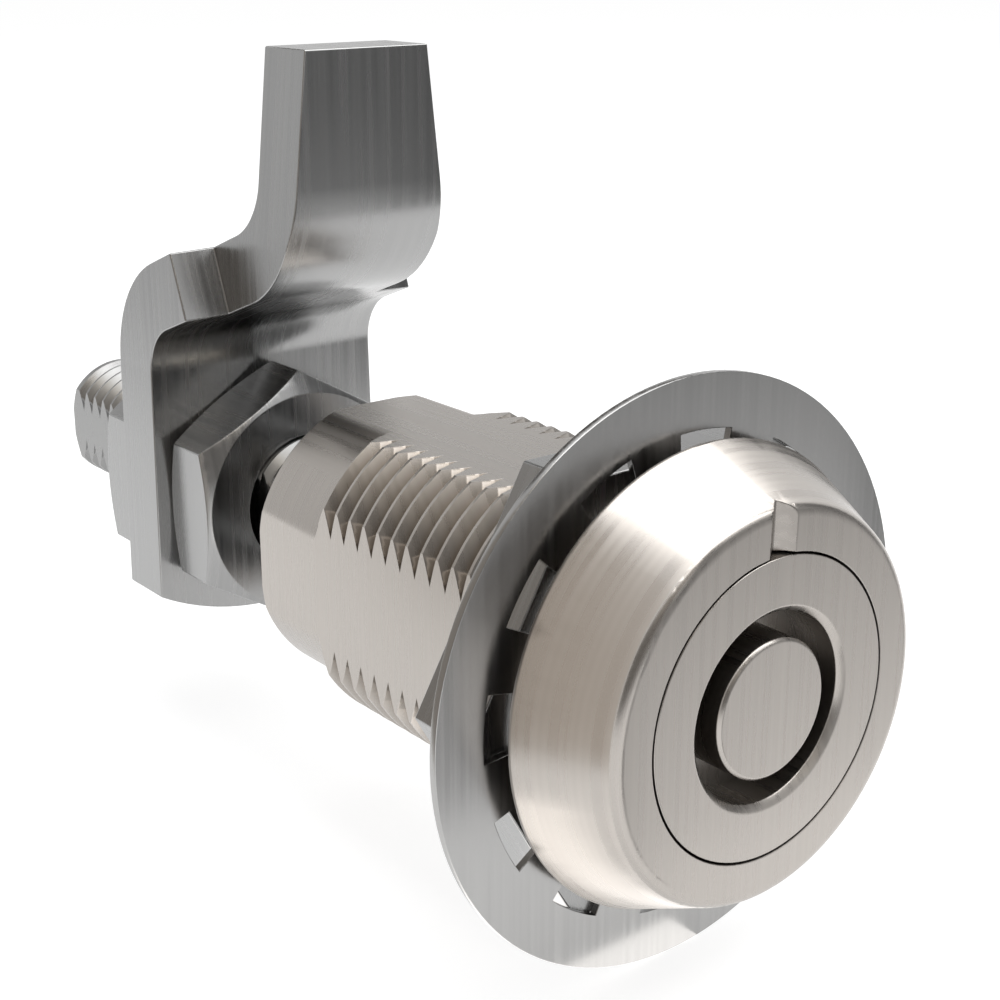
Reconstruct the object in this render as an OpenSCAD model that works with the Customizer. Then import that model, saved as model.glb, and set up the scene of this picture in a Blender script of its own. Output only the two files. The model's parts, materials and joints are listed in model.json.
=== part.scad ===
// Compression latch: a round flush head on a threaded barrel with four flats, and behind it
// a threaded shaft that carries an offset cam between two hex nuts.
// The latch axis runs along Y: the head looks to -Y, the cam stands in the cabinet at +Y.
// The origin is on the axis, in the plane of the head's underside, where the panel seats.

/* [Head] */
// Radius of the head at its underside
head_base_r = 14; // [13.2:0.1:15]
// Radius at which the head's cone meets the plane of the face
head_face_r = 11.5; // [11:0.1:12.6]
// Height of the head above the panel
head_h = 5.7; // [5.6:0.1:7]
// Radius of the rounded rim between face and cone
rim_round_r = 0.8; // [0.6:0.1:1.8]
// Straight edge at the foot of the cone
head_land = 0.3; // [0.2:0.1:0.6]
// Half width of the V-shaped pointer notch, at the face
pointer_w = 1.05; // [0.7:0.05:1.3]
// Depth of the pointer notch
pointer_depth = 0.8; // [0.4:0.1:1.2]
// Turn of the pointer notch from upright, in degrees
pointer_turn = 1.1; // [-3:0.1:3]

/* [Barrel] */
// Crest radius of the barrel thread
barrel_r = 11; // [10.9:0.1:11.6]
// Distance across the flats of the barrel
barrel_flats = 18.8; // [18.4:0.1:19.6]
// Pitch of the barrel thread
barrel_pitch = 1.5; // [1:0.25:2]
// Depth of the barrel thread
barrel_thread_depth = 0.85; // [0.5:0.05:0.9]
// Length of the threaded stretch behind the head
barrel_thread_l = 25.3; // [22:0.1:26.5]
// Length of the chamfer that ends the thread, over its height
thread_end_slope = 1.1; // [0.8:0.1:1.6]
// Radius of the smooth rear stretch
barrel_tail_r = 10; // [9.7:0.05:10.1]
// Whole length of the barrel behind the head
barrel_l = 32.2; // [31.8:0.1:36]
// Chamfer at the rear edge of the barrel
barrel_chamfer = 0.4; // [0.1:0.1:0.6]

/* [Driver] */
// Radius of the driver's face
driver_r = 8.88; // [8.8:0.02:9.3]
// Gap all round between the driver's head and the housing
seam_gap = 0.13; // [0.05:0.01:0.2]
// Thickness of the driver's head
driver_head_t = 4.5; // [4.2:0.1:4.8]
// Outer radius of the key groove, at the face
key_groove_r = 6; // [5.8:0.05:6.4]
// Radius of the centre post
key_post_r = 4.15; // [3.8:0.05:4.4]
// Depth of the key groove
key_groove_depth = 3.2; // [2:0.1:3.6]
// Chamfer on the outer edge of the key groove
key_chamfer = 0.4; // [0.1:0.05:0.5]
// Chamfer on the edge of the centre post
post_chamfer = 0.2; // [0.1:0.05:0.5]
// Outer radius of the driver's tube
driver_tube_r = 6.9; // [6.7:0.05:7]
// Place of the rear end of the driver's tube
driver_tube_end = 21; // [20:0.1:23]
// Radius of the journal that turns in the housing
journal_r = 6.95; // [6.85:0.01:7]
// Depth of the drive chamber's front wall behind the panel plane
chamber_y = 1; // [0.6:0.1:1.4]
// Thickness of the friction washer under the driver's head
friction_t = 0.5; // [0.3:0.1:0.6]
// Radius of the seal's section
o_ring_r = 0.68; // [0.5:0.02:0.7]
// Place of the seal behind the face
o_ring_place = 2.4; // [2.2:0.1:3.4]
// Thickness of the driver's clip
clip_t = 0.7; // [0.5:0.1:0.8]
// Depth of the clip's bed in the driver
clip_bed = 0.6; // [0.4:0.1:0.7]
// Reach of the clip beyond the driver's tube
clip_reach = 0.8; // [0.5:0.1:0.9]
// Width of the clip's opening
clip_gap_w = 3; // [2:0.5:5]

/* [Housing bores] */
// Thickness of the housing's inner collar that carries the journal
collar_t = 3.4; // [2.8:0.1:3.6]
// Radius of the long bore in the barrel
bore_r = 8.05; // [7.9:0.01:8.1]
// Angle that the stop lug covers
stop_angle = 30; // [16:1:40]
// Length of the stop lug
stop_l = 3; // [2:0.1:4]
// Angle at which the stop lug stands
stop_place = 30; // [20:1:40]
// Thickness of the snap ring
snap_t = 1; // [0.8:0.1:1.2]
// Depth of the snap ring's groove
snap_depth = 0.45; // [0.3:0.05:0.5]
// Width of the snap ring's section
snap_w = 1.5; // [1:0.1:1.8]
// Width of the snap ring's opening
snap_gap_w = 4; // [2:0.5:6]
// Wall left behind the snap ring
snap_inset = 1.2; // [1:0.1:1.6]
// Thickness of the thrust washer
thrust_t = 0.6; // [0.4:0.1:0.8]

/* [Guide sleeve] */
// Clearance of each turning or sliding fit, in radius
running_gap = 0.05; // [0.02:0.01:0.08]
// Clearance of the pieces that only need to pass each other
slack = 0.15; // [0.1:0.01:0.2]
// Clearance that keeps two still pieces apart
hair = 0.02; // [0.01:0.01:0.03]
// Space between the driver's clip and the sleeve
sleeve_space = 0.5; // [0.3:0.1:0.8]
// Wall of the guide sleeve round the driver's tube
sleeve_wall = 1; // [0.7:0.05:1]
// Length of the sleeve's rear collar, which guides the shaft
sleeve_collar_l = 4.4; // [3:0.1:5]
// Turn of the cam from open to shut, in degrees
swing_turn = 90; // [60:5:90]

/* [Shaft] */
// Crest radius of the shaft
shaft_r = 5; // [4.9:0.05:5.02]
// Distance across the shaft's two flats
shaft_flats = 8; // [7.4:0.1:8.4]
// Pitch of the shaft's thread
shaft_pitch = 1.5; // [1:0.25:1.75]
// Depth of the shaft's thread
shaft_thread_depth = 0.8; // [0.4:0.05:0.8]
// Place of the shaft's front end
shaft_front_y = 14; // [13:0.1:15]
// Place of the first thread on the shaft
shaft_thread_y = 30; // [29:0.1:31]
// Place of the shaft's rear end
shaft_rear_y = 71.8; // [66:0.1:80]
// Chamfer on the shaft's ends
shaft_chamfer = 0.85; // [0.3:0.05:1]
// Radius of the cross pin
pin_r = 1.25; // [1:0.05:1.5]
// Place of the cross pin with the latch slack
pin_y = 18; // [17.6:0.1:18.4]
// Pull of the cam towards the panel
pull = 6; // [4:0.1:6]
// Turn of the driver that gives the whole pull, in degrees
pull_turn = 90; // [60:5:90]

/* [Spring] */
// Radius of the spring wire
spring_wire_r = 0.5; // [0.3:0.05:0.55]
// Mean radius of the spring coil
spring_coil_r = 4.1; // [3.6:0.05:4.3]
// Number of coils
spring_turns = 5.5; // [4:0.5:7]
// Thickness of the spring's seat
seat_t = 0.8; // [0.5:0.1:1]

/* [Washer and mounting nut] */
// Outer radius of the windowed washer
washer_r = 17.9; // [17.6:0.05:20]
// Thickness of the windowed washer
washer_t = 0.5; // [0.5:0.05:1.2]
// Space between the head's underside and the washer
washer_y = 1.1; // [0.8:0.1:6]
// How far the washer and the mounting nut hang below the axis
washer_drop = 0.42; // [0:0.02:0.5]
// Radius at which the windows end
window_r = 14.7; // [14.4:0.05:15.6]
// Radius at which the windows start
window_inner_r = 12.6; // [12:0.05:13]
// Number of windows
window_n = 12; // [6:1:14]
// Angle that each window covers
window_angle = 15.5; // [10:0.5:17]
// Angle by which the washer is turned
washer_turn = 4.1; // [-15:0.1:15]
// Distance across the flats of the mounting nut
mount_nut_af = 26.5; // [26:0.1:30]
// Thickness of the mounting nut
mount_nut_t = 4.9; // [3:0.1:8]

/* [Cam and its nuts] */
// Distance across the flats of the cam nuts
cam_nut_af = 17; // [16:0.1:18]
// Thickness of the cam nuts
cam_nut_t = 5.5; // [4:0.1:6]
// Radius of the flat face inside a cam nut's chamfer
cam_nut_face_r = 8.2; // [7.6:0.05:8.4]
// Place of the cam's front face where it sits on the shaft
cam_y = 46.3; // [44:0.1:52]
// Thickness of the cam
cam_t = 4.8; // [4:0.1:5]
// Offset of the cam's finger towards the panel
cam_offset = 14.6; // [12.6:0.1:15]
// Radius of both bends at the middle of the plate
cam_bend_r = 6.5; // [6:0.05:7]
// Angle of both bends
cam_bend_angle = 69; // [66:1:80]
// Height of the lower bend's start above the axis
cam_bend_z = 9.9; // [9.8:0.1:12]
// Half width of the cam's foot at its bottom
cam_foot_w = 9.85; // [9:0.05:11]
// Half width of the cam's foot where the lower bend starts
cam_neck_w = 9.45; // [9:0.05:10]
// Half width of the finger below its taper
cam_finger_w = 6.2; // [5.4:0.1:7]
// Length over which the finger widens to the foot
shoulder_l = 0.4; // [0.2:0.1:1.2]
// Half width of the finger at its tip
cam_tip_w = 4.8; // [4:0.05:5.4]
// Height above the axis at which the finger starts to taper
cam_taper_z = 20.4; // [20:0.1:24]
// Height of the cam's tip above the axis
cam_tip_z = 33.2; // [31:0.1:40]
// Depth of the cam's lowest point below the axis
cam_low_z = 9.7; // [9:0.1:11]
// Radius of the cam's bottom edge
cam_low_r = 19.5; // [16:0.5:26]

/* [Hidden] */

$fn = 96;
satin_nickel = [0.73, 0.70, 0.67];
brushed_steel = [0.62, 0.62, 0.62];
dark_steel = [0.42, 0.42, 0.43];
rubber_black = [0.07, 0.07, 0.07];
nylon_black = [0.13, 0.13, 0.14];
// A small length by which a cut runs past the face that it opens
over = 0.5;

// Head
face_y = -head_h;
cone_angle = atan((head_base_r - head_face_r) / (head_h - head_land));
rim_reach = rim_round_r / tan((90 + cone_angle) / 2);
driver_bore_r = driver_r + seam_gap;
driver_seat_y = face_y + driver_head_t;
collar_front_y = driver_seat_y + friction_t;
collar_rear_y = collar_front_y + collar_t;

// Place of the barrel's last crest, where the thread's end chamfer starts
barrel_crest_y = barrel_thread_l - thread_end_slope * (barrel_r - barrel_tail_r);

// Driver's seal, clip and chamber
o_ring_bed_r = driver_bore_r - 2 * o_ring_r - 2 * running_gap;
o_ring_bed_l = 2 * o_ring_r + 4 * running_gap;
o_ring_y = face_y + o_ring_place;
clip_bed_r = driver_tube_r - clip_bed;
clip_r = driver_tube_r + clip_reach;
clip_y = collar_rear_y + running_gap;
chamber_r = shaft_r + 2 * running_gap;

// Guide sleeve, its stop and what holds it
sleeve_r = bore_r - running_gap;
sleeve_bore_r = sleeve_r - sleeve_wall;
sleeve_front_y = clip_y + clip_t + sleeve_space;
snap_r = bore_r + snap_depth;
snap_rear_y = barrel_l - snap_inset;
snap_y = snap_rear_y - snap_t;
thrust_y = snap_y - thrust_t - running_gap;
sleeve_rear_y = thrust_y - running_gap;
sleeve_collar_y = sleeve_rear_y - sleeve_collar_l;
stop_y = sleeve_front_y + slack;
stop_inner_r = sleeve_bore_r + slack;
stop_gap_angle = 1;

// Pin and its slots
slot_r = pin_r + slack;
pin_reach = sleeve_r - slack;
slot_steps = 16;

// Spring
spring_y = chamber_y + seat_t;
spring_l = shaft_front_y - spring_y;
spring_ring_n = 20;
spring_side_n = 8;

// Washer and nuts: both hang on the barrel's two upper crest corners
hung_bore_r = sqrt(barrel_r ^ 2 + barrel_flats * washer_drop + washer_drop ^ 2) + running_gap;
mount_nut_y = washer_y + washer_t;
front_nut_y = cam_y - cam_nut_t;
rear_nut_y = cam_y + cam_t;
nut_slope = tan(30);

// Cam: the bend's middle line leaves the foot at cam_bend_z and reaches the finger
bend_rise = cam_bend_r * sin(cam_bend_angle);
bend_shift = cam_bend_r * (1 - cos(cam_bend_angle));
web_l = (cam_offset - 2 * bend_shift) / sin(cam_bend_angle);
foot_mid_y = cam_y + cam_t / 2;
finger_mid_y = foot_mid_y - cam_offset;
finger_bend_z = cam_bend_z + 2 * bend_rise + web_l * cos(cam_bend_angle);
shoulder_y = foot_mid_y - cam_offset / 2;
shoulder_z = (cam_bend_z + finger_bend_z) / 2;
cam_span = cam_tip_z + cam_low_z;
bend_steps = 16;

// Places what is turned about Z so that it runs along the latch axis from y on
module along_axis(y = 0) {
    translate([0, y, 0])
        rotate([-90, 0, 0])
            children();
}

// A turned ring from one place on the axis to another
module ring(outer_r, inner_r, from_y, to_y) {
    along_axis(from_y)
        difference() {
            cylinder(r = outer_r, h = to_y - from_y);
            translate([0, 0, -over])
                cylinder(r = inner_r, h = to_y - from_y + 2 * over);
        }
}

// A plain cylinder on the latch axis
module rod(r, from_y, to_y) {
    along_axis(from_y)
        cylinder(r = r, h = to_y - from_y);
}

// A hex prism on the latch axis, with a corner up or to the side
module hex_bar(af, from_y, to_y, corner_up) {
    along_axis(from_y)
        rotate([0, 0, corner_up ? 30 : 0])
            cylinder(r = af / sqrt(3), h = to_y - from_y, $fn = 6);
}

// A sector of a ring, measured from +X about the latch axis
module sector(outer_r, inner_r, from_y, to_y, from_angle, angle) {
    along_axis(from_y)
        rotate([0, 0, from_angle])
            rotate_extrude(angle = angle)
                translate([inner_r, 0])
                    square([outer_r - inner_r, to_y - from_y]);
}

// Half section of a thread with V grooves between flat crests, as [radius, place] points
function thread_points(crest_r, depth, pitch, from_y, to_y) =
    let (n = floor((to_y - from_y) / pitch), crest = pitch / 7)
    [for (i = [0 : n - 1], k = [0 : 2])
        let (start = from_y + i * pitch)
        k == 0 ? [crest_r, start + crest / 2]
        : k == 1 ? [crest_r - depth, start + pitch / 2]
        : [crest_r, start + pitch - crest / 2]];

// Turned head: cone, rounded rim and flat face
module head_blank() {
    rotate([-90, 0, 0])
        rotate_extrude()
            union() {
                polygon([
                    [0, face_y],
                    [head_face_r - rim_reach, face_y],
                    [head_face_r + rim_reach * sin(cone_angle),
                        face_y + rim_reach * cos(cone_angle)],
                    [head_base_r, -head_land],
                    [head_base_r, 0],
                    [0, 0]]);
                translate([head_face_r - rim_reach, face_y + rim_round_r])
                    circle(r = rim_round_r, $fn = 48);
            }
}

// Section of the pointer notch: a V that opens beyond the face, as [x, y]
module pointer_section() {
    polygon([
        [-2 * pointer_w, face_y - pointer_depth],
        [2 * pointer_w, face_y - pointer_depth],
        [0, face_y + pointer_depth]]);
}

// Barrel: threaded stretch and smooth tail, cut to four flats
module barrel_blank() {
    intersection() {
        rotate([-90, 0, 0])
            rotate_extrude()
                polygon(concat(
                    [[0, -over], [barrel_r, -over]],
                    thread_points(barrel_r, barrel_thread_depth, barrel_pitch,
                        barrel_crest_y % barrel_pitch, barrel_crest_y),
                    [[barrel_r, barrel_crest_y],
                        [barrel_tail_r, barrel_thread_l],
                        [barrel_tail_r, barrel_l - barrel_chamfer],
                        [barrel_tail_r - barrel_chamfer, barrel_l],
                        [0, barrel_l]]));
        translate([-barrel_flats / 2, -2 * over, -barrel_flats / 2])
            cube([barrel_flats, barrel_l + 4 * over, barrel_flats]);
    }
}

module housing() {
    color(satin_nickel)
        union() {
            difference() {
                union() {
                    head_blank();
                    barrel_blank();
                }
                rod(driver_bore_r, face_y - over, collar_front_y);
                rod(journal_r + running_gap, face_y, barrel_l);
                rod(bore_r, collar_rear_y, barrel_l + over);
                rod(snap_r + running_gap, snap_y - running_gap / 2, snap_rear_y + running_gap);
                rotate([0, pointer_turn, 0])
                    translate([0, 0, driver_r - over])
                        linear_extrude(head_base_r)
                            pointer_section();
            }
            sector(bore_r + over, stop_inner_r, stop_y, stop_y + stop_l,
                stop_place - stop_angle / 2, stop_angle);
        }
}

// Driver: face with the key groove, journal, and tube with two helical slots for the pin
module driver() {
    color(satin_nickel)
        difference() {
            rotate([-90, 0, 0])
                rotate_extrude()
                    polygon([
                        [0, face_y],
                        [key_post_r - post_chamfer, face_y],
                        [key_post_r, face_y + post_chamfer],
                        [key_post_r, face_y + key_groove_depth],
                        [key_groove_r - key_chamfer, face_y + key_groove_depth],
                        [key_groove_r - key_chamfer, face_y + key_chamfer],
                        [key_groove_r, face_y],
                        [driver_r, face_y],
                        [driver_r, o_ring_y - o_ring_bed_l / 2],
                        [o_ring_bed_r, o_ring_y - o_ring_bed_l / 2],
                        [o_ring_bed_r, o_ring_y + o_ring_bed_l / 2],
                        [driver_r, o_ring_y + o_ring_bed_l / 2],
                        [driver_r, driver_seat_y],
                        [journal_r, driver_seat_y],
                        [journal_r, clip_y],
                        [clip_bed_r, clip_y],
                        [clip_bed_r, clip_y + clip_t],
                        [driver_tube_r, clip_y + clip_t],
                        [driver_tube_r, driver_tube_end],
                        [chamber_r, driver_tube_end],
                        [chamber_r, chamber_y],
                        [0, chamber_y]]);
            for (i = [0 : slot_steps])
                translate([0, pin_y - pull * i / slot_steps, 0])
                    rotate([0, -pull_turn * i / slot_steps, 0])
                        rotate([0, 90, 0])
                            cylinder(r = slot_r, h = 4 * sleeve_r, center = true, $fn = 48);
        }
}

module driver_o_ring() {
    color(rubber_black)
        along_axis(o_ring_y)
            rotate_extrude()
                translate([o_ring_bed_r + running_gap + o_ring_r, 0])
                    circle(r = o_ring_r, $fn = 32);
}

module friction_washer() {
    color(nylon_black)
        ring(driver_r - slack, journal_r + running_gap, driver_seat_y, collar_front_y);
}

// Open spring clip behind the housing's collar
module driver_clip() {
    color(dark_steel)
        difference() {
            ring(clip_r, clip_bed_r + hair, clip_y + hair, clip_y + clip_t - hair);
            translate([-clip_gap_w / 2, clip_y - over, -2 * clip_r])
                cube([clip_gap_w, clip_t + 2 * over, 2 * clip_r]);
        }
}

module spring_seat() {
    color(brushed_steel)
        rod(chamber_r - slack, chamber_y, chamber_y + seat_t);
}

// Points of the spring wire's middle line
function spring_place(t) =
    let (rise = spring_l - 2 * spring_wire_r - 2 * running_gap)
    [spring_coil_r * cos(360 * spring_turns * t),
        spring_y + spring_wire_r + running_gap + rise * t,
        spring_coil_r * sin(360 * spring_turns * t)];

// Coil spring swept round its helix
module return_spring() {
    steps = spring_ring_n * spring_turns;
    points = [for (i = [0 : steps], k = [0 : spring_side_n - 1])
        let (turn = 360 * spring_turns * i / steps, side = 360 * k / spring_side_n,
            place = spring_place(i / steps), out = spring_wire_r * cos(side))
        [place[0] + out * cos(turn), place[1] + spring_wire_r * sin(side),
            place[2] + out * sin(turn)]];
    ring_faces = [for (i = [0 : steps - 1], k = [0 : spring_side_n - 1])
        let (a = i * spring_side_n, b = a + spring_side_n, next = (k + 1) % spring_side_n)
        [a + k, a + next, b + next, b + k]];
    first_end = [[for (k = [spring_side_n - 1 : -1 : 0]) k]];
    last_end = [[for (k = [0 : spring_side_n - 1]) steps * spring_side_n + k]];
    color(brushed_steel)
        polyhedron(points, concat(first_end, ring_faces, last_end), convexity = 6);
}

// Guide sleeve: turns with the cam, and lets the pin slide in two straight slots
module guide_sleeve() {
    color(dark_steel)
        difference() {
            ring(sleeve_r, shaft_r + running_gap, sleeve_front_y, sleeve_rear_y);
            rod(sleeve_bore_r, sleeve_front_y - over, sleeve_collar_y);
            for (end = [0, 1])
                translate([0, pin_y - pull * end, 0])
                    rotate([0, 90, 0])
                        cylinder(r = slot_r, h = 4 * sleeve_r, center = true, $fn = 48);
            translate([-2 * sleeve_r, pin_y - pull, -slot_r])
                cube([4 * sleeve_r, pull, 2 * slot_r]);
            sector(sleeve_r + over, sleeve_bore_r - over,
                sleeve_front_y - over, stop_y + stop_l + slack,
                stop_place - stop_angle / 2 - stop_gap_angle,
                stop_angle + swing_turn + 2 * stop_gap_angle);
        }
}

module thrust_washer() {
    color(nylon_black)
        ring(bore_r - slack, shaft_r + 2 * slack, thrust_y, thrust_y + thrust_t);
}

// Internal snap ring with a gap at the bottom
module snap_ring() {
    color(dark_steel)
        difference() {
            ring(snap_r, snap_r - snap_w, snap_y, snap_rear_y);
            translate([-snap_gap_w / 2, snap_y - over, -2 * snap_r])
                cube([snap_gap_w, snap_t + 2 * over, 2 * snap_r]);
        }
}

// Shaft: plain round front with the pin's hole, threaded rear with two flats
module threaded_shaft() {
    color(brushed_steel)
        difference() {
            rotate([-90, 0, 0])
                rotate_extrude()
                    polygon(concat(
                        [[0, shaft_front_y],
                            [shaft_r - shaft_chamfer, shaft_front_y],
                            [shaft_r, shaft_front_y + shaft_chamfer]],
                        thread_points(shaft_r, shaft_thread_depth, shaft_pitch, shaft_thread_y,
                            shaft_rear_y - shaft_chamfer),
                        [[shaft_r, shaft_rear_y - shaft_chamfer],
                            [shaft_r - shaft_chamfer, shaft_rear_y],
                            [0, shaft_rear_y]]));
            for (side = [0, 1])
                mirror([side, 0, 0])
                    translate([shaft_flats / 2, shaft_thread_y, -2 * shaft_r])
                        cube([2 * shaft_r, shaft_rear_y, 4 * shaft_r]);
            translate([0, pin_y, 0])
                rotate([0, 90, 0])
                    cylinder(r = pin_r + hair, h = 4 * shaft_r, center = true, $fn = 48);
        }
}

module cross_pin() {
    color(dark_steel)
        translate([0, pin_y, 0])
            rotate([0, 90, 0])
                cylinder(r = pin_r, h = 2 * pin_reach, center = true, $fn = 48);
}

module windowed_washer() {
    color(brushed_steel)
        translate([0, 0, -washer_drop])
            difference() {
                ring(washer_r, hung_bore_r, washer_y, washer_y + washer_t);
                for (i = [0 : window_n - 1])
                    sector(window_r, window_inner_r, washer_y - over, washer_y + washer_t + over,
                        washer_turn - 90 - window_angle / 2 + 360 * i / window_n, window_angle);
            }
}

module mounting_nut() {
    color(brushed_steel)
        translate([0, 0, -washer_drop])
            difference() {
                hex_bar(mount_nut_af, mount_nut_y, mount_nut_y + mount_nut_t, false);
                rod(hung_bore_r, mount_nut_y - over, mount_nut_y + mount_nut_t + over);
            }
}

// Hex nut with both faces chamfered
module cam_nut(y) {
    drop = nut_slope * (cam_nut_af / sqrt(3) + over - cam_nut_face_r);
    color(brushed_steel)
        difference() {
            intersection() {
                hex_bar(cam_nut_af, y, y + cam_nut_t, true);
                rotate([-90, 0, 0])
                    rotate_extrude()
                        polygon([
                            [0, y],
                            [cam_nut_face_r, y],
                            [cam_nut_af / sqrt(3) + over, y + drop],
                            [cam_nut_af / sqrt(3) + over, y + cam_nut_t - drop],
                            [cam_nut_face_r, y + cam_nut_t],
                            [0, y + cam_nut_t]]);
            }
            rod(shaft_r + running_gap, y - over, y + cam_nut_t + over);
        }
}

module front_cam_nut() {
    cam_nut(front_nut_y);
}

module rear_cam_nut() {
    cam_nut(rear_nut_y);
}

// One long edge of the cam's side view, at distance s behind its middle line, as [y, z]
function cam_edge(s) = concat(
    [[foot_mid_y + s, -2 * cam_low_z]],
    [for (i = [0 : bend_steps])
        let (a = cam_bend_angle * i / bend_steps)
        [foot_mid_y - cam_bend_r, cam_bend_z] + (cam_bend_r + s) * [cos(a), sin(a)]],
    [for (i = [0 : bend_steps])
        let (a = 180 + cam_bend_angle * (1 - i / bend_steps))
        [finger_mid_y + cam_bend_r, finger_bend_z] + (cam_bend_r - s) * [cos(a), sin(a)]],
    [[finger_mid_y + s, cam_tip_z]]);

// Side view of the cam: foot, lower bend, short web, upper bend and finger
module cam_profile() {
    front = cam_edge(-cam_t / 2);
    back = cam_edge(cam_t / 2);
    polygon(concat(front, [for (i = [len(back) - 1 : -1 : 0]) back[i]]));
}

// Front view of the cam: foot with its round lower edge, tapering finger, as [x, z]
module cam_front() {
    polygon([
        [-cam_foot_w, -cam_low_z],
        [cam_foot_w, -cam_low_z],
        [cam_neck_w, cam_bend_z],
        [cam_neck_w, cam_taper_z],
        [cam_finger_w, cam_taper_z],
        [cam_tip_w, cam_tip_z],
        [-cam_tip_w, cam_tip_z],
        [-cam_finger_w, cam_taper_z],
        [-cam_neck_w, cam_taper_z],
        [-cam_neck_w, cam_bend_z]]);
}

// The cam's outline seen square to its web: the finger widens to the foot, as [x, along the web]
module cam_plan() {
    polygon([
        [-cam_finger_w, -cam_span],
        [cam_finger_w, -cam_span],
        [cam_finger_w, -shoulder_l / 2],
        [cam_foot_w, shoulder_l / 2],
        [cam_foot_w, cam_span],
        [-cam_foot_w, cam_span],
        [-cam_foot_w, shoulder_l / 2],
        [-cam_finger_w, -shoulder_l / 2]]);
}

module cam() {
    color(brushed_steel)
        difference() {
            intersection() {
                translate([-2 * cam_foot_w, 0, 0])
                    rotate([90, 0, 90])
                        linear_extrude(4 * cam_foot_w)
                            cam_profile();
                translate([0, 2 * cam_y, 0])
                    rotate([90, 0, 0])
                        linear_extrude(2 * cam_y)
                            cam_front();
                translate([0, shoulder_y, shoulder_z])
                    rotate([cam_bend_angle - 90, 0, 0])
                        linear_extrude(2 * cam_span, center = true)
                            cam_plan();
                union() {
                    along_axis(cam_y - over)
                        translate([0, cam_low_z - cam_low_r, 0])
                            cylinder(r = cam_low_r, h = cam_t + 2 * over);
                    translate([-2 * cam_foot_w, 0, 0])
                        cube([4 * cam_foot_w, 2 * cam_y, 2 * cam_tip_z]);
                }
            }
            intersection() {
                rod(shaft_r + running_gap, cam_y - over, cam_y + cam_t + over);
                translate([-shaft_flats / 2 - running_gap, cam_y - over, -2 * shaft_r])
                    cube([shaft_flats + 2 * running_gap, cam_t + 2 * over, 4 * shaft_r]);
            }
        }
}

housing();
driver();
driver_o_ring();
friction_washer();
driver_clip();
spring_seat();
return_spring();
guide_sleeve();
thrust_washer();
snap_ring();
threaded_shaft();
cross_pin();
windowed_washer();
mounting_nut();
front_cam_nut();
cam();
rear_cam_nut();
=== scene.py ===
import json
import math

import bmesh
import bpy
from mathutils import Matrix, Vector


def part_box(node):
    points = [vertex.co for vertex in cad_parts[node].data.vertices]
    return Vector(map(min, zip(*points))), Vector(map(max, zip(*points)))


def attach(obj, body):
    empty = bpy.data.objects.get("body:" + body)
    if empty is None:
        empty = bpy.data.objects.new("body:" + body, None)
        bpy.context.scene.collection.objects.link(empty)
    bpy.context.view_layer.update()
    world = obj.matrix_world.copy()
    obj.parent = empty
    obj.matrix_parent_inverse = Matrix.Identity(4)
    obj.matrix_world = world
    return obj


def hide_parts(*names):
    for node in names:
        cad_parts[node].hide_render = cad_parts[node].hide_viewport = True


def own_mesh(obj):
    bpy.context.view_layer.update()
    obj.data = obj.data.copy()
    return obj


# Compression latch: the machined pieces with their edges eased, their ground and turned
# finishes, the rubber and nylon inside, and a pale studio with soft light.
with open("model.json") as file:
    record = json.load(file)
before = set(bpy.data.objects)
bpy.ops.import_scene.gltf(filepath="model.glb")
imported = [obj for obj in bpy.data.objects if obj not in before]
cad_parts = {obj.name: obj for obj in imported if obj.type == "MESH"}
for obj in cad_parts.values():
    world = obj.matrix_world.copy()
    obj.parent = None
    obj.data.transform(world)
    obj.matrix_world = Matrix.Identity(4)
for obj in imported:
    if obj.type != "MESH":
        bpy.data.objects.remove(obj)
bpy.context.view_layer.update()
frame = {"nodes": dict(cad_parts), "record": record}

MM = 0.001
# Sizes of the latch that finishes, eased edges and painted shade are placed by
HEAD_FACE_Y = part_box("driver")[0].y
FACE_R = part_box("driver")[1].x
GROOVE_R = 6.0 * MM
GROOVE_CHAMFER = 0.4 * MM
# How deep down the key groove the painted shade reaches its full darkness
GROOVE_DARK_DEPTH = 5.0 * MM
NOTCH_HALF_W = 1.3 * MM
NOTCH_LIP_X = -0.3 * MM
CONE_FOOT_Y = -0.3 * MM
HEAD_FOOT_Y = 0.1 * MM
THREAD_START_Y = 7.0 * MM
THREAD_CREST_R = 11.0 * MM
THREAD_ROOT_R = 10.15 * MM
BARREL_FLAT = 9.4 * MM
BARREL_TAIL_Y = 25.3 * MM
TAIL_EDGE_R = 9.0 * MM
# How far inside or outside those sizes a finish or an eased zone begins
FACE_MARGIN = 0.2 * MM
FACE_EDGE_DEPTH = 0.5 * MM
TAIL_MARGIN = 0.4 * MM
FLAT_MARGIN = 0.012 * MM
CREST_MARGIN = 0.03 * MM
GROOVE_MARGIN = 0.02 * MM
# The camera, as solved from the photo: lens and sensor in millimetres, its place, and the
# directions of the picture's right and up
CAMERA_LENS = 62.207
CAMERA_SENSOR = 36.0
CAMERA_PLACE = Vector((-65.253, -63.322, 40.743)) * MM
CAMERA_RIGHT = Vector((0.7801, -0.6256, -0.0004))
CAMERA_UP = Vector((0.1983, 0.2468, 0.9486))
CAMERA_NEAR = 1 * MM
CAMERA_FAR = 20.0
# Light levels: the soft light all round, the floor's own colour and the white that it shows
SOFT_LIGHT = 0.42
FLOOR_COLOUR = (0.40, 0.40, 0.40)
FLOOR_WHITE = 0.82
# The floor, in metres: the washer's lowest point, how far below it the floor lies, how far
# the floor reaches each way, and the height of the card that lies just over it
FLOOR_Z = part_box("windowed_washer")[0].z
FLOOR_DROP = 0.05 * MM
FLOOR_REACH = 3.0
BOUNCE_Z = FLOOR_Z + 0.02 * MM
# The overhead soft box, in metres and watts
BOX_SIZE = (0.49, 0.55)
BOX_PLACE = (0.16, -0.025, 0.40)
BOX_POWER = 2.1
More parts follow.
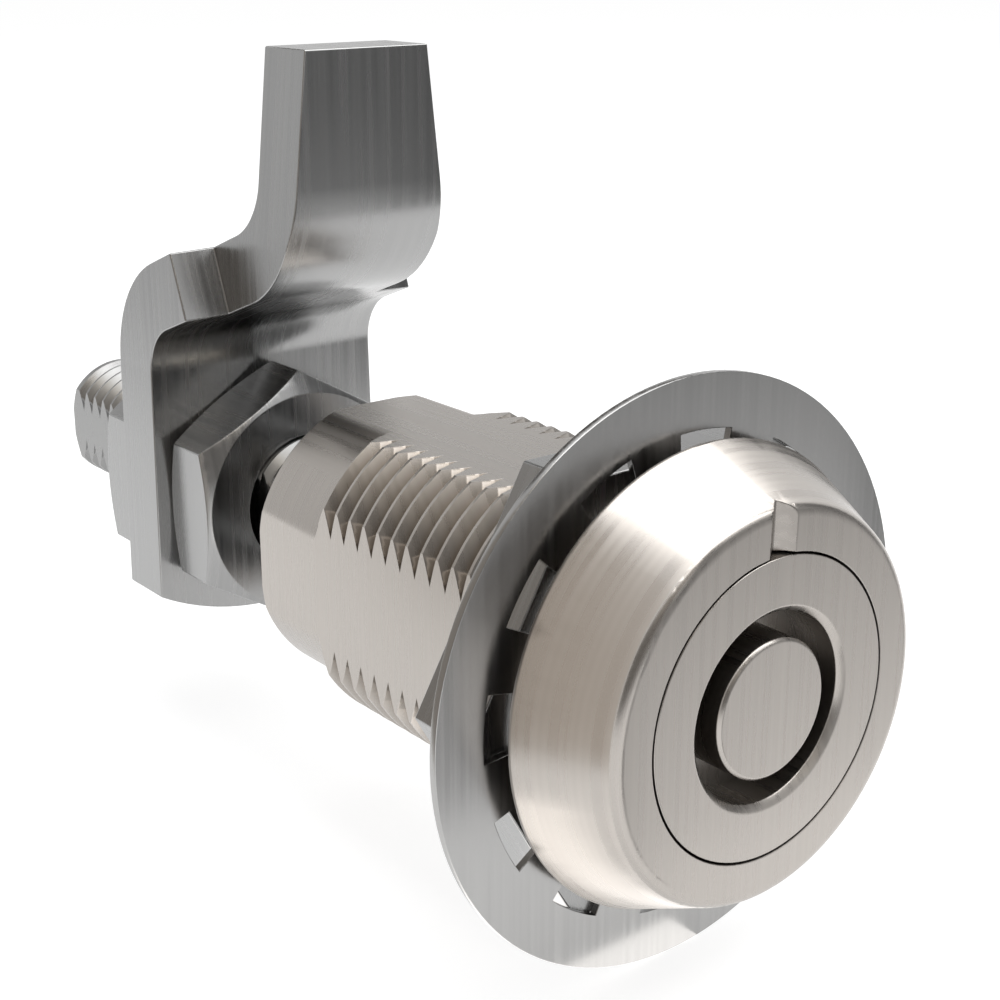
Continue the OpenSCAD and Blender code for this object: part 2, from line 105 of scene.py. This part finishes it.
# Grain, in ridges to the metre
ACROSS_GRAIN = 2200
ALONG_GRAIN = 25
RING_GRAIN = 2200
MOULDED_GRAIN = 3000
# The noise: how much its finer parts show, and the part of its range that the grain uses
NOISE_ROUGHNESS = 0.6
GRAIN_LOW = 0.3
GRAIN_HIGH = 0.7
# Metal: how far shade and roughness vary with the grain, and how much relief it has
METAL_SPREAD = 0.045
METAL_SMOOTHER = 0.04
METAL_ROUGHER = 0.05
METAL_BUMP = 0.05
METAL_RELIEF = 0.0005 * MM
# The same for rubber and nylon
MOULDED_SPREAD = 0.15
MOULDED_ROUGHNESS_BAND = 0.06
MOULDED_BUMP = 0.2
MOULDED_RELIEF = 0.02 * MM
# Which way a face looks, by a part of its normal: to a side, or straight to the front
SIDEWAYS = 0.72
STRAIGHT_FRONT = -0.9
# Eased edges: how sharp an edge has to be, and how sharp one has to be to stay crisp
EASED_ANGLE = math.radians(25)
CRISP_ANGLE = math.radians(24)
FLAT_ANGLE = math.radians(0.5)
WELD_DISTANCE = 0.002 * MM
EASE_SEGMENTS = 3
LARGE_FACE_WEIGHT = 100
# Base colours
NICKEL = (0.47, 0.44, 0.41)
STEEL = (0.36, 0.36, 0.358)
# Painted shade: the near black that the key groove's walls darken to, deep down
GROOVE_PAINTED_SHADE = (0.05, 0.045, 0.04)
# Painted shade: the dark brown that the thread's flanks darken to at their roots
FLANK_ROOT_PAINTED_SHADE = (0.20, 0.17, 0.14)
FLANK_CREST = NICKEL


# Camera and studio

def make_camera():
    """The photograph's camera: a moderate lens close to the latch, from the left and above."""
    data = bpy.data.cameras.new("photo_camera")
    data.sensor_width = CAMERA_SENSOR
    data.lens = CAMERA_LENS
    data.clip_start = CAMERA_NEAR
    data.clip_end = CAMERA_FAR
    camera = bpy.data.objects.new("photo_camera", data)
    bpy.context.scene.collection.objects.link(camera)
    back = CAMERA_RIGHT.cross(CAMERA_UP)
    turn = Matrix((CAMERA_RIGHT, CAMERA_UP, back)).transposed().to_4x4()
    camera.matrix_world = Matrix.Translation(CAMERA_PLACE) @ turn
    bpy.context.scene.camera = camera
    bpy.context.scene.view_settings.view_transform = "Standard"


def seen_or_mirrored(tree):
    """1 for the rays that show the background: straight, in gloss and through glass."""
    path = tree.nodes.new("ShaderNodeLightPath")
    straight_or_gloss = math_node(tree, "MAXIMUM", path.outputs["Is Camera Ray"],
                                  path.outputs["Is Glossy Ray"])
    return math_node(tree, "MAXIMUM", straight_or_gloss, path.outputs["Is Transmission Ray"])


def white_background(tree, strength):
    background = tree.nodes.new("ShaderNodeBackground")
    background.inputs["Color"].default_value = (1, 1, 1, 1)
    background.inputs["Strength"].default_value = strength
    return background


def make_world():
    """White to look at, and a softer white as light on the latch and the floor."""
    world = bpy.data.worlds.new("studio")
    bpy.context.scene.world = world
    world.use_nodes = True
    tree = world.node_tree
    tree.nodes.clear()
    mix = tree.nodes.new("ShaderNodeMixShader")
    tree.links.new(seen_or_mirrored(tree), mix.inputs[0])
    tree.links.new(white_background(tree, SOFT_LIGHT).outputs[0], mix.inputs[1])
    tree.links.new(white_background(tree, 1.0).outputs[0], mix.inputs[2])
    out = tree.nodes.new("ShaderNodeOutputWorld")
    tree.links.new(mix.outputs[0], out.inputs["Surface"])


def stage_surface(name, corners):
    """A flat studio surface through four corners, with an empty material of its own."""
    card = bmesh.new()
    card.faces.new([card.verts.new(corner) for corner in corners])
    mesh = bpy.data.meshes.new(name)
    card.to_mesh(mesh)
    card.free()
    surface = bpy.data.materials.new(name)
    surface.use_nodes = True
    surface.node_tree.nodes.clear()
    mesh.materials.append(surface)
    piece = bpy.data.objects.new(name, mesh)
    bpy.context.scene.collection.objects.link(piece)
    return piece, surface.node_tree


def surface_of(tree, shader):
    """Makes a shader the surface of its material."""
    out = tree.nodes.new("ShaderNodeOutputMaterial")
    tree.links.new(shader.outputs[0], out.inputs["Surface"])


def make_floor():
    """A white floor under the latch, that still takes its shadow."""
    z = FLOOR_Z - FLOOR_DROP
    reach = FLOOR_REACH
    _, tree = stage_surface("floor", [(-reach, -reach, z), (reach, -reach, z),
                                      (reach, reach, z), (-reach, reach, z)])
    matte = tree.nodes.new("ShaderNodeBsdfDiffuse")
    matte.inputs["Color"].default_value = (*FLOOR_COLOUR, 1)
    glow = tree.nodes.new("ShaderNodeEmission")
    white_seen = math_node(tree, "MULTIPLY", seen_or_mirrored(tree), FLOOR_WHITE)
    tree.links.new(white_seen, glow.inputs["Strength"])
    both = tree.nodes.new("ShaderNodeAddShader")
    tree.links.new(matte.outputs[0], both.inputs[0])
    tree.links.new(glow.outputs[0], both.inputs[1])
    surface_of(tree, both)


def only_in_gloss(card):
    """Hides the card from every ray that hasn't come off a glossy surface."""
    card.visible_camera = False
    card.visible_diffuse = False
    card.visible_transmission = False
    card.visible_shadow = False


def graded_card(name, start, end, top, tone, foot, fade):
    """A card that only the metal shows: it stands on the floor and fades up to its tone."""
    card, tree = stage_surface(name, [(*start, FLOOR_Z), (*end, FLOOR_Z),
                                      (*end, top), (*start, top)])
    height = split(tree, object_place(tree))[2]
    rise = tree.nodes.new("ShaderNodeMapRange")
    rise.interpolation_type = "SMOOTHSTEP"
    rise.inputs["From Min"].default_value = FLOOR_Z
    rise.inputs["From Max"].default_value = FLOOR_Z + fade
    tree.links.new(height, rise.inputs["Value"])
    glow = tree.nodes.new("ShaderNodeEmission")
    tree.links.new(mixed_colours(tree, rise.outputs["Result"], foot, tone), glow.inputs["Color"])
    surface_of(tree, glow)
    only_in_gloss(card)


def even_card(name, corners, tint, strength):
    """A card of one brightness, that only the metal shows."""
    card, tree = stage_surface(name, corners)
    glow = tree.nodes.new("ShaderNodeEmission")
    glow.inputs["Color"].default_value = (*tint, 1)
    glow.inputs["Strength"].default_value = strength
    surface_of(tree, glow)
    only_in_gloss(card)


def grey(level):
    return (level, level, level)


# Each graded card: its name, two ends of its foot, the height of its top, its tone, the tone of
# its foot and the height over which the one fades into the other, in metres
GRADED_CARDS = (
    ("front_left_card", (-0.005, -0.021), (0.002, -0.021), 0.035, grey(0.2), grey(0.5), 0.048),
    ("front_card", (0.002, -0.021), (0.028, -0.021), 0.023, grey(0.2), grey(0.97), 0.048),
    ("front_right_card", (0.028, -0.021), (0.042, -0.021), 0.035, grey(0.2), grey(0.97), 0.048),
    ("right_card", (0.042, -0.021), (0.6, -0.021), 0.16, grey(0.19), grey(0.42), 0.03),
    ("far_card", (0.0, -0.15), (0.7, -0.15), 0.055, grey(0.18), grey(0.4), 0.03),
    ("camera_side_card", (-0.25, -0.12), (-0.006, -0.12), 0.16,
     (0.22, 0.21, 0.2), grey(0.5), 0.02),
    ("left_card", (-0.045, -0.014), (-0.045, 0.001), 0.12,
     (0.72, 0.66, 0.6), (0.95, 0.93, 0.9), 0.008),
    ("thread_card", (-0.045, 0.001), (-0.045, 0.06), 0.12,
     (0.38, 0.345, 0.31), (0.8, 0.78, 0.75), 0.008),
    ("back_left_card", (-0.06, 0.06), (-0.06, 0.5), 0.2, grey(0.78), grey(0.95), 0.012),
    ("back_card", (-0.06, 0.5), (0.9, 0.5), 0.4, grey(0.78), grey(0.95), 0.05),
)
# Each even card: its name, its corners, its tint and its strength. One is bright under the cone,
# one is warm for the thread, and one is dark, high at the back
EVEN_CARDS = (
    ("bounce_card", ((-0.027, -0.0015, BOUNCE_Z), (0.002, -0.0015, BOUNCE_Z),
                     (0.002, 0.01, BOUNCE_Z), (-0.027, 0.01, BOUNCE_Z)),
     (1.0, 0.98, 0.96), 2.1),
    ("thread_glow", ((-0.19, -0.46, 0.4), (-0.08, -0.46, 0.4),
                     (-0.08, -0.30, 0.4), (-0.19, -0.30, 0.4)),
     (1.0, 0.9, 0.76), 5.0),
    ("high_back_card", ((-0.3, 0.42, 0.24), (0.5, 0.42, 0.24),
                        (0.5, 0.42, 0.42), (-0.3, 0.42, 0.42)),
     (1.0, 0.9, 0.8), 0.1),
)


def make_cards():
    """Cards round the latch, as a photographer sets them to give bright metal its darks."""
    for card in GRADED_CARDS:
        graded_card(*card)
    for card in EVEN_CARDS:
        even_card(*card)


def make_overhead_light():
    """One large soft box overhead, a little to the right."""
    data = bpy.data.lights.new("overhead_box", "AREA")
    data.shape = "RECTANGLE"
    data.size, data.size_y = BOX_SIZE
    data.energy = BOX_POWER
    lamp = bpy.data.objects.new("overhead_box", data)
    lamp.location = BOX_PLACE
    bpy.context.scene.collection.objects.link(lamp)


# Finishes

def new_finish(name):
    finish = bpy.data.materials.new(name)
    finish.use_nodes = True
    tree = finish.node_tree
    return finish, tree, tree.nodes["Principled BSDF"]


def feed(tree, sockets, values):
    """Gives each socket its value, which is a number or another node's output."""
    for socket, value in zip(sockets, values):
        if isinstance(value, (int, float)):
            socket.default_value = value
        else:
            tree.links.new(value, socket)


def math_node(tree, operation, *values):
    node = tree.nodes.new("ShaderNodeMath")
    node.operation = operation
    feed(tree, node.inputs, values)
    return node.outputs[0]


def object_place(tree):
    """The place in the piece's own coordinates, which are the latch's, in metres."""
    coordinates = tree.nodes.new("ShaderNodeTexCoord")
    return coordinates.outputs["Object"]


def object_normal(tree):
    coordinates = tree.nodes.new("ShaderNodeTexCoord")
    return coordinates.outputs["Normal"]


def split(tree, vector):
    parts = tree.nodes.new("ShaderNodeSeparateXYZ")
    tree.links.new(vector, parts.inputs[0])
    return parts.outputs


def joined(tree, x, y, z):
    parts = tree.nodes.new("ShaderNodeCombineXYZ")
    feed(tree, parts.inputs, (x, y, z))
    return parts.outputs[0]


def axis_distance(tree, place):
    """The distance from the latch's axis."""
    x, _, z = split(tree, place)
    squares = math_node(tree, "ADD", math_node(tree, "MULTIPLY", x, x),
                        math_node(tree, "MULTIPLY", z, z))
    return math_node(tree, "SQRT", squares)


def stretched_noise(tree, place, scale, detail):
    """Noise drawn out along the directions of small scale, as a grinding belt leaves it."""
    mapping = tree.nodes.new("ShaderNodeMapping")
    mapping.inputs["Scale"].default_value = scale
    tree.links.new(place, mapping.inputs["Vector"])
    noise = tree.nodes.new("ShaderNodeTexNoise")
    noise.inputs["Scale"].default_value = 1.0
    noise.inputs["Detail"].default_value = detail
    noise.inputs["Roughness"].default_value = NOISE_ROUGHNESS
    tree.links.new(mapping.outputs["Vector"], noise.inputs["Vector"])
    return noise.outputs["Fac"]


def blended(tree, factor, first, second):
    mix = tree.nodes.new("ShaderNodeMix")
    tree.links.new(factor, mix.inputs["Factor"])
    tree.links.new(first, mix.inputs[2])
    tree.links.new(second, mix.inputs[3])
    return mix.outputs[0]


def mixed_colours(tree, factor, first, second):
    """The first colour where the factor is 0, the second where it is 1; either may be a socket."""
    mix = tree.nodes.new("ShaderNodeMix")
    mix.data_type = "RGBA"
    tree.links.new(factor, mix.inputs["Factor"])
    for socket, colour in ((mix.inputs[6], first), (mix.inputs[7], second)):
        if isinstance(colour, tuple):
            socket.default_value = (*colour, 1)
        else:
            tree.links.new(colour, socket)
    return mix.outputs[2]


def ranged(tree, value, low, high, from_low=GRAIN_LOW, from_high=GRAIN_HIGH):
    node = tree.nodes.new("ShaderNodeMapRange")
    node.inputs["From Min"].default_value = from_low
    node.inputs["From Max"].default_value = from_high
    node.inputs["To Min"].default_value = low
    node.inputs["To Max"].default_value = high
    tree.links.new(value, node.inputs["Value"])
    return node.outputs["Result"]


def tinted(tree, value, dark, light):
    """A colour between two near shades, by a value that a noise gives."""
    ramp = tree.nodes.new("ShaderNodeValToRGB")
    ramp.color_ramp.elements[0].position = GRAIN_LOW
    ramp.color_ramp.elements[0].color = (*dark, 1)
    ramp.color_ramp.elements[1].position = GRAIN_HIGH
    ramp.color_ramp.elements[1].color = (*light, 1)
    tree.links.new(value, ramp.inputs["Fac"])
    return ramp.outputs["Color"]


def shades(colour, spread):
    return ([part * (1 - spread) for part in colour], [part * (1 + spread) for part in colour])


def ground_grain(tree, place):
    """Straight grain: upright on the faces, and along the latch on what looks up or down."""
    front_and_top = stretched_noise(tree, place, (ACROSS_GRAIN, ALONG_GRAIN, ALONG_GRAIN),
                                    detail=1.0)
    sides = stretched_noise(tree, place, (ALONG_GRAIN, ACROSS_GRAIN, ALONG_GRAIN), detail=1.0)
    looks_sideways = math_node(tree, "ABSOLUTE", split(tree, object_normal(tree))[0])
    on_side = math_node(tree, "GREATER_THAN", looks_sideways, SIDEWAYS)
    return blended(tree, on_side, front_and_top, sides)


def relief(tree, shader, height, strength, distance):
    """Fine relief that the shader shows without a change of shape."""
    bump = tree.nodes.new("ShaderNodeBump")
    bump.inputs["Strength"].default_value = strength
    bump.inputs["Distance"].default_value = distance
    tree.links.new(height, bump.inputs["Height"])
    tree.links.new(bump.outputs["Normal"], shader.inputs["Normal"])


def satin(tree, shader, grain, colour, roughness):
    """Bare metal whose shade, gloss and fine relief follow the grain."""
    dark, light = shades(colour, METAL_SPREAD)
    shade = tinted(tree, grain, dark, light)
    tree.links.new(shade, shader.inputs["Base Color"])
    gloss = ranged(tree, grain, roughness - METAL_SMOOTHER, roughness + METAL_ROUGHER)
    tree.links.new(gloss, shader.inputs["Roughness"])
    shader.inputs["Metallic"].default_value = 1.0
    relief(tree, shader, grain, METAL_BUMP, METAL_RELIEF)
    return shade


def ground_finish(name, colour, roughness):
    """Metal ground in one direction."""
    finish, tree, shader = new_finish(name)
    satin(tree, shader, ground_grain(tree, object_place(tree)), colour, roughness)
    return finish


def turned_finish(name, colour, roughness):
    """Metal turned on a lathe, with rings round the latch's axis."""
    finish, tree, shader = new_finish(name)
    place = object_place(tree)
    unrolled = joined(tree, axis_distance(tree, place), split(tree, place)[1], 0.0)
    rings = stretched_noise(tree, unrolled, (RING_GRAIN, RING_GRAIN, 1), detail=1.0)
    satin(tree, shader, rings, colour, roughness)
    return finish


def housing_finish(name, colour, roughness):
    """The housing's satin: rings on the cone, straight grain elsewhere, and painted shade that
    darkens the thread roots.
    """
    finish, tree, shader = new_finish(name)
    place = object_place(tree)
    x, y, z = split(tree, place)
    radius = axis_distance(tree, place)
    unrolled = joined(tree, radius, y, 0.0)
    rings = stretched_noise(tree, unrolled, (RING_GRAIN, RING_GRAIN, 1), detail=0.0)
    straight = ground_grain(tree, place)
    normal_y = split(tree, object_normal(tree))[1]
    on_cone = math_node(tree, "MULTIPLY", math_node(tree, "LESS_THAN", y, CONE_FOOT_Y),
                        math_node(tree, "GREATER_THAN", normal_y, STRAIGHT_FRONT))
    shade = satin(tree, shader, blended(tree, on_cone, straight, rings), colour, roughness)
    threaded_part = math_node(tree, "MULTIPLY", math_node(tree, "GREATER_THAN", y, THREAD_START_Y),
                              math_node(tree, "LESS_THAN", y, BARREL_TAIL_Y))
    widest = math_node(tree, "MAXIMUM", math_node(tree, "ABSOLUTE", x),
                       math_node(tree, "ABSOLUTE", z))
    inside_flats = math_node(tree, "LESS_THAN", widest, BARREL_FLAT - FLAT_MARGIN)
    below_crests = math_node(tree, "LESS_THAN", radius, THREAD_CREST_R - CREST_MARGIN)
    below_skin = math_node(tree, "MULTIPLY", inside_flats, below_crests)
    on_flank = math_node(tree, "MULTIPLY", threaded_part, below_skin)
    # Painted shade: on the thread's flanks the colour darkens from nickel at the crest to dark
    # brown at the root
    from_root = ranged(tree, radius, 0.0, 1.0, THREAD_ROOT_R, THREAD_CREST_R)
    flank = mixed_colours(tree, from_root, FLANK_ROOT_PAINTED_SHADE, FLANK_CREST)
    coloured = mixed_colours(tree, on_flank, shade, flank)
    tree.links.new(coloured, shader.inputs["Base Color"])
    return finish


def key_face_painted_shade_finish(name, colour, roughness):
    """The driver's satin face, with painted shade that darkens it down the deep key groove."""
    finish, tree, shader = new_finish(name)
    place = object_place(tree)
    shade = satin(tree, shader, ground_grain(tree, place), colour, roughness)
    y = split(tree, place)[1]
    # Painted shade: deep in the key groove the colour darkens to near black, from the chamfer down
    inside = math_node(tree, "LESS_THAN", axis_distance(tree, place), GROOVE_R + GROOVE_MARGIN)
    deep = ranged(tree, y, 0.0, 1.0, HEAD_FACE_Y + GROOVE_CHAMFER,
                  HEAD_FACE_Y + GROOVE_DARK_DEPTH)
    groove_painted_shade = math_node(tree, "MULTIPLY", deep, inside)
    coloured = mixed_colours(tree, groove_painted_shade, shade, GROOVE_PAINTED_SHADE)
    tree.links.new(coloured, shader.inputs["Base Color"])
    return finish


def moulded_finish(name, colour, roughness):
    """Rubber or nylon with a fine even grain."""
    finish, tree, shader = new_finish(name)
    grain = stretched_noise(tree, object_place(tree), (MOULDED_GRAIN,) * 3, detail=2.0)
    dark, light = shades(colour, MOULDED_SPREAD)
    tree.links.new(tinted(tree, grain, dark, light), shader.inputs["Base Color"])
    gloss = ranged(tree, grain, roughness - MOULDED_ROUGHNESS_BAND,
                   roughness + MOULDED_ROUGHNESS_BAND)
    tree.links.new(gloss, shader.inputs["Roughness"])
    relief(tree, shader, grain, MOULDED_BUMP, MOULDED_RELIEF)
    return finish


finishes = {
    "satin_nickel": housing_finish("satin_nickel", NICKEL, 0.28),
    "key_face": key_face_painted_shade_finish("satin_nickel_face", NICKEL, 0.28),
    "washer_steel": ground_finish("washer_steel", (0.41, 0.407, 0.402), 0.22),
    "nut_steel": ground_finish("nut_steel", STEEL, 0.25),
    "cam_steel": ground_finish("cam_steel", STEEL, 0.25),
    "shaft_steel": turned_finish("shaft_steel", (0.31, 0.31, 0.308), 0.3),
    "sleeve_steel": turned_finish("sleeve_steel", (0.28, 0.28, 0.29), 0.4),
    "spring_steel": turned_finish("spring_steel", (0.26, 0.26, 0.27), 0.35),
    "seal_rubber": moulded_finish("seal_rubber", (0.02, 0.02, 0.02), 0.5),
    "black_nylon": moulded_finish("black_nylon", (0.025, 0.025, 0.027), 0.45),
}


# Pieces

def eased_copy(node, body, width, finish, zone):
    """A copy of a piece whose sharp edges in a zone are rounded, as deburring leaves them."""
    shape = bmesh.new()
    shape.from_mesh(frame["nodes"][node].data)
    bmesh.ops.remove_doubles(shape, verts=shape.verts, dist=WELD_DISTANCE)
    bmesh.ops.dissolve_limit(shape, angle_limit=FLAT_ANGLE, verts=shape.verts, edges=shape.edges)
    edges = [edge for edge in shape.edges
             if edge.calc_face_angle(0) > EASED_ANGLE
             and all(zone(corner.co) for corner in edge.verts)]
    if edges:
        bmesh.ops.bevel(shape, geom=edges, offset=width, affect="EDGES",
                        segments=EASE_SEGMENTS, profile=0.5, material=-1, clamp_overlap=False)
    mesh = bpy.data.meshes.new(f"{node}_eased")
    shape.to_mesh(mesh)
    shape.free()
    mesh.shade_smooth()
    mesh.set_sharp_from_angle(angle=CRISP_ANGLE)
    mesh.materials.append(finish)
    piece = bpy.data.objects.new(f"{node}_eased", mesh)
    bpy.context.scene.collection.objects.link(piece)
    flatter = piece.modifiers.new("flat_faces", "WEIGHTED_NORMAL")
    flatter.keep_sharp = True
    flatter.weight = LARGE_FACE_WEIGHT
    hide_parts(node)
    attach(piece, body)
    return piece


def radius_of(point):
    return math.hypot(point.x, point.z)


def near_head_outside(point):
    """The head's outer edges, without one lip of the pointer notch."""
    on_notch_lip = -NOTCH_HALF_W < point.x < NOTCH_LIP_X and point.z > FACE_R
    outside = point.y < HEAD_FOOT_Y and radius_of(point) > FACE_R - FACE_MARGIN
    return outside and not on_notch_lip


def on_barrel_outside(point):
    """The outer edges of the barrel's smooth rear end."""
    return point.y > BARREL_TAIL_Y - TAIL_MARGIN and radius_of(point) > TAIL_EDGE_R


def housing_zone(point):
    return near_head_outside(point) or on_barrel_outside(point)


def driver_zone(point):
    """The driver's edges that show in the face."""
    return point.y < HEAD_FACE_Y + FACE_EDGE_DEPTH


def everywhere(point):
    return True


def nowhere(point):
    return False


# Each dressed piece: its node, body, slot, finish, the width of its eased edges in millimetres
# and the zone that they are in; a piece with the zone nowhere keeps its edges as they are
DRESSED = (
    ("housing", "barrel_body", "satin_nickel", "satin_nickel", 0.07, housing_zone),
    ("driver", "driver_body", "satin_nickel", "key_face", 0.07, driver_zone),
    ("windowed_washer", "barrel_body", "washer_steel", "washer_steel", 0.05, everywhere),
    ("mounting_nut", "barrel_body", "nut_steel", "nut_steel", 0.12, everywhere),
    ("front_cam_nut", "shaft_body", "nut_steel", "nut_steel", 0.08, everywhere),
    ("rear_cam_nut", "shaft_body", "nut_steel", "nut_steel", 0.08, everywhere),
    ("cam", "shaft_body", "cam_steel", "cam_steel", 0.12, everywhere),
    ("threaded_shaft", "shaft_body", "shaft_steel", "shaft_steel", 0.0, nowhere),
)


def dress_pieces():
    for node, body, slot, finish, width, zone in DRESSED:
        eased_copy(node, body, width * MM, finishes[finish], zone)


def dress_return_spring():
    """The return spring, shaded smooth on a mesh of its own, riding with the driver."""
    spring = eased_copy("return_spring", "driver_body", 0.0,
                        finishes["spring_steel"], nowhere)
    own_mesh(spring)


def finish_kept_pieces():
    """The pieces that keep their CAD shape take their finish from the record's slots."""
    slots = {part["node"]: part["material_slot"] for part in frame["record"]["subparts"]}
    for node, piece in frame["nodes"].items():
        if piece.hide_render:
            continue
        for place in piece.material_slots:
            place.material = finishes[slots[node]]


make_camera()
make_world()
make_floor()
make_cards()
make_overhead_light()
dress_pieces()
dress_return_spring()
finish_kept_pieces()
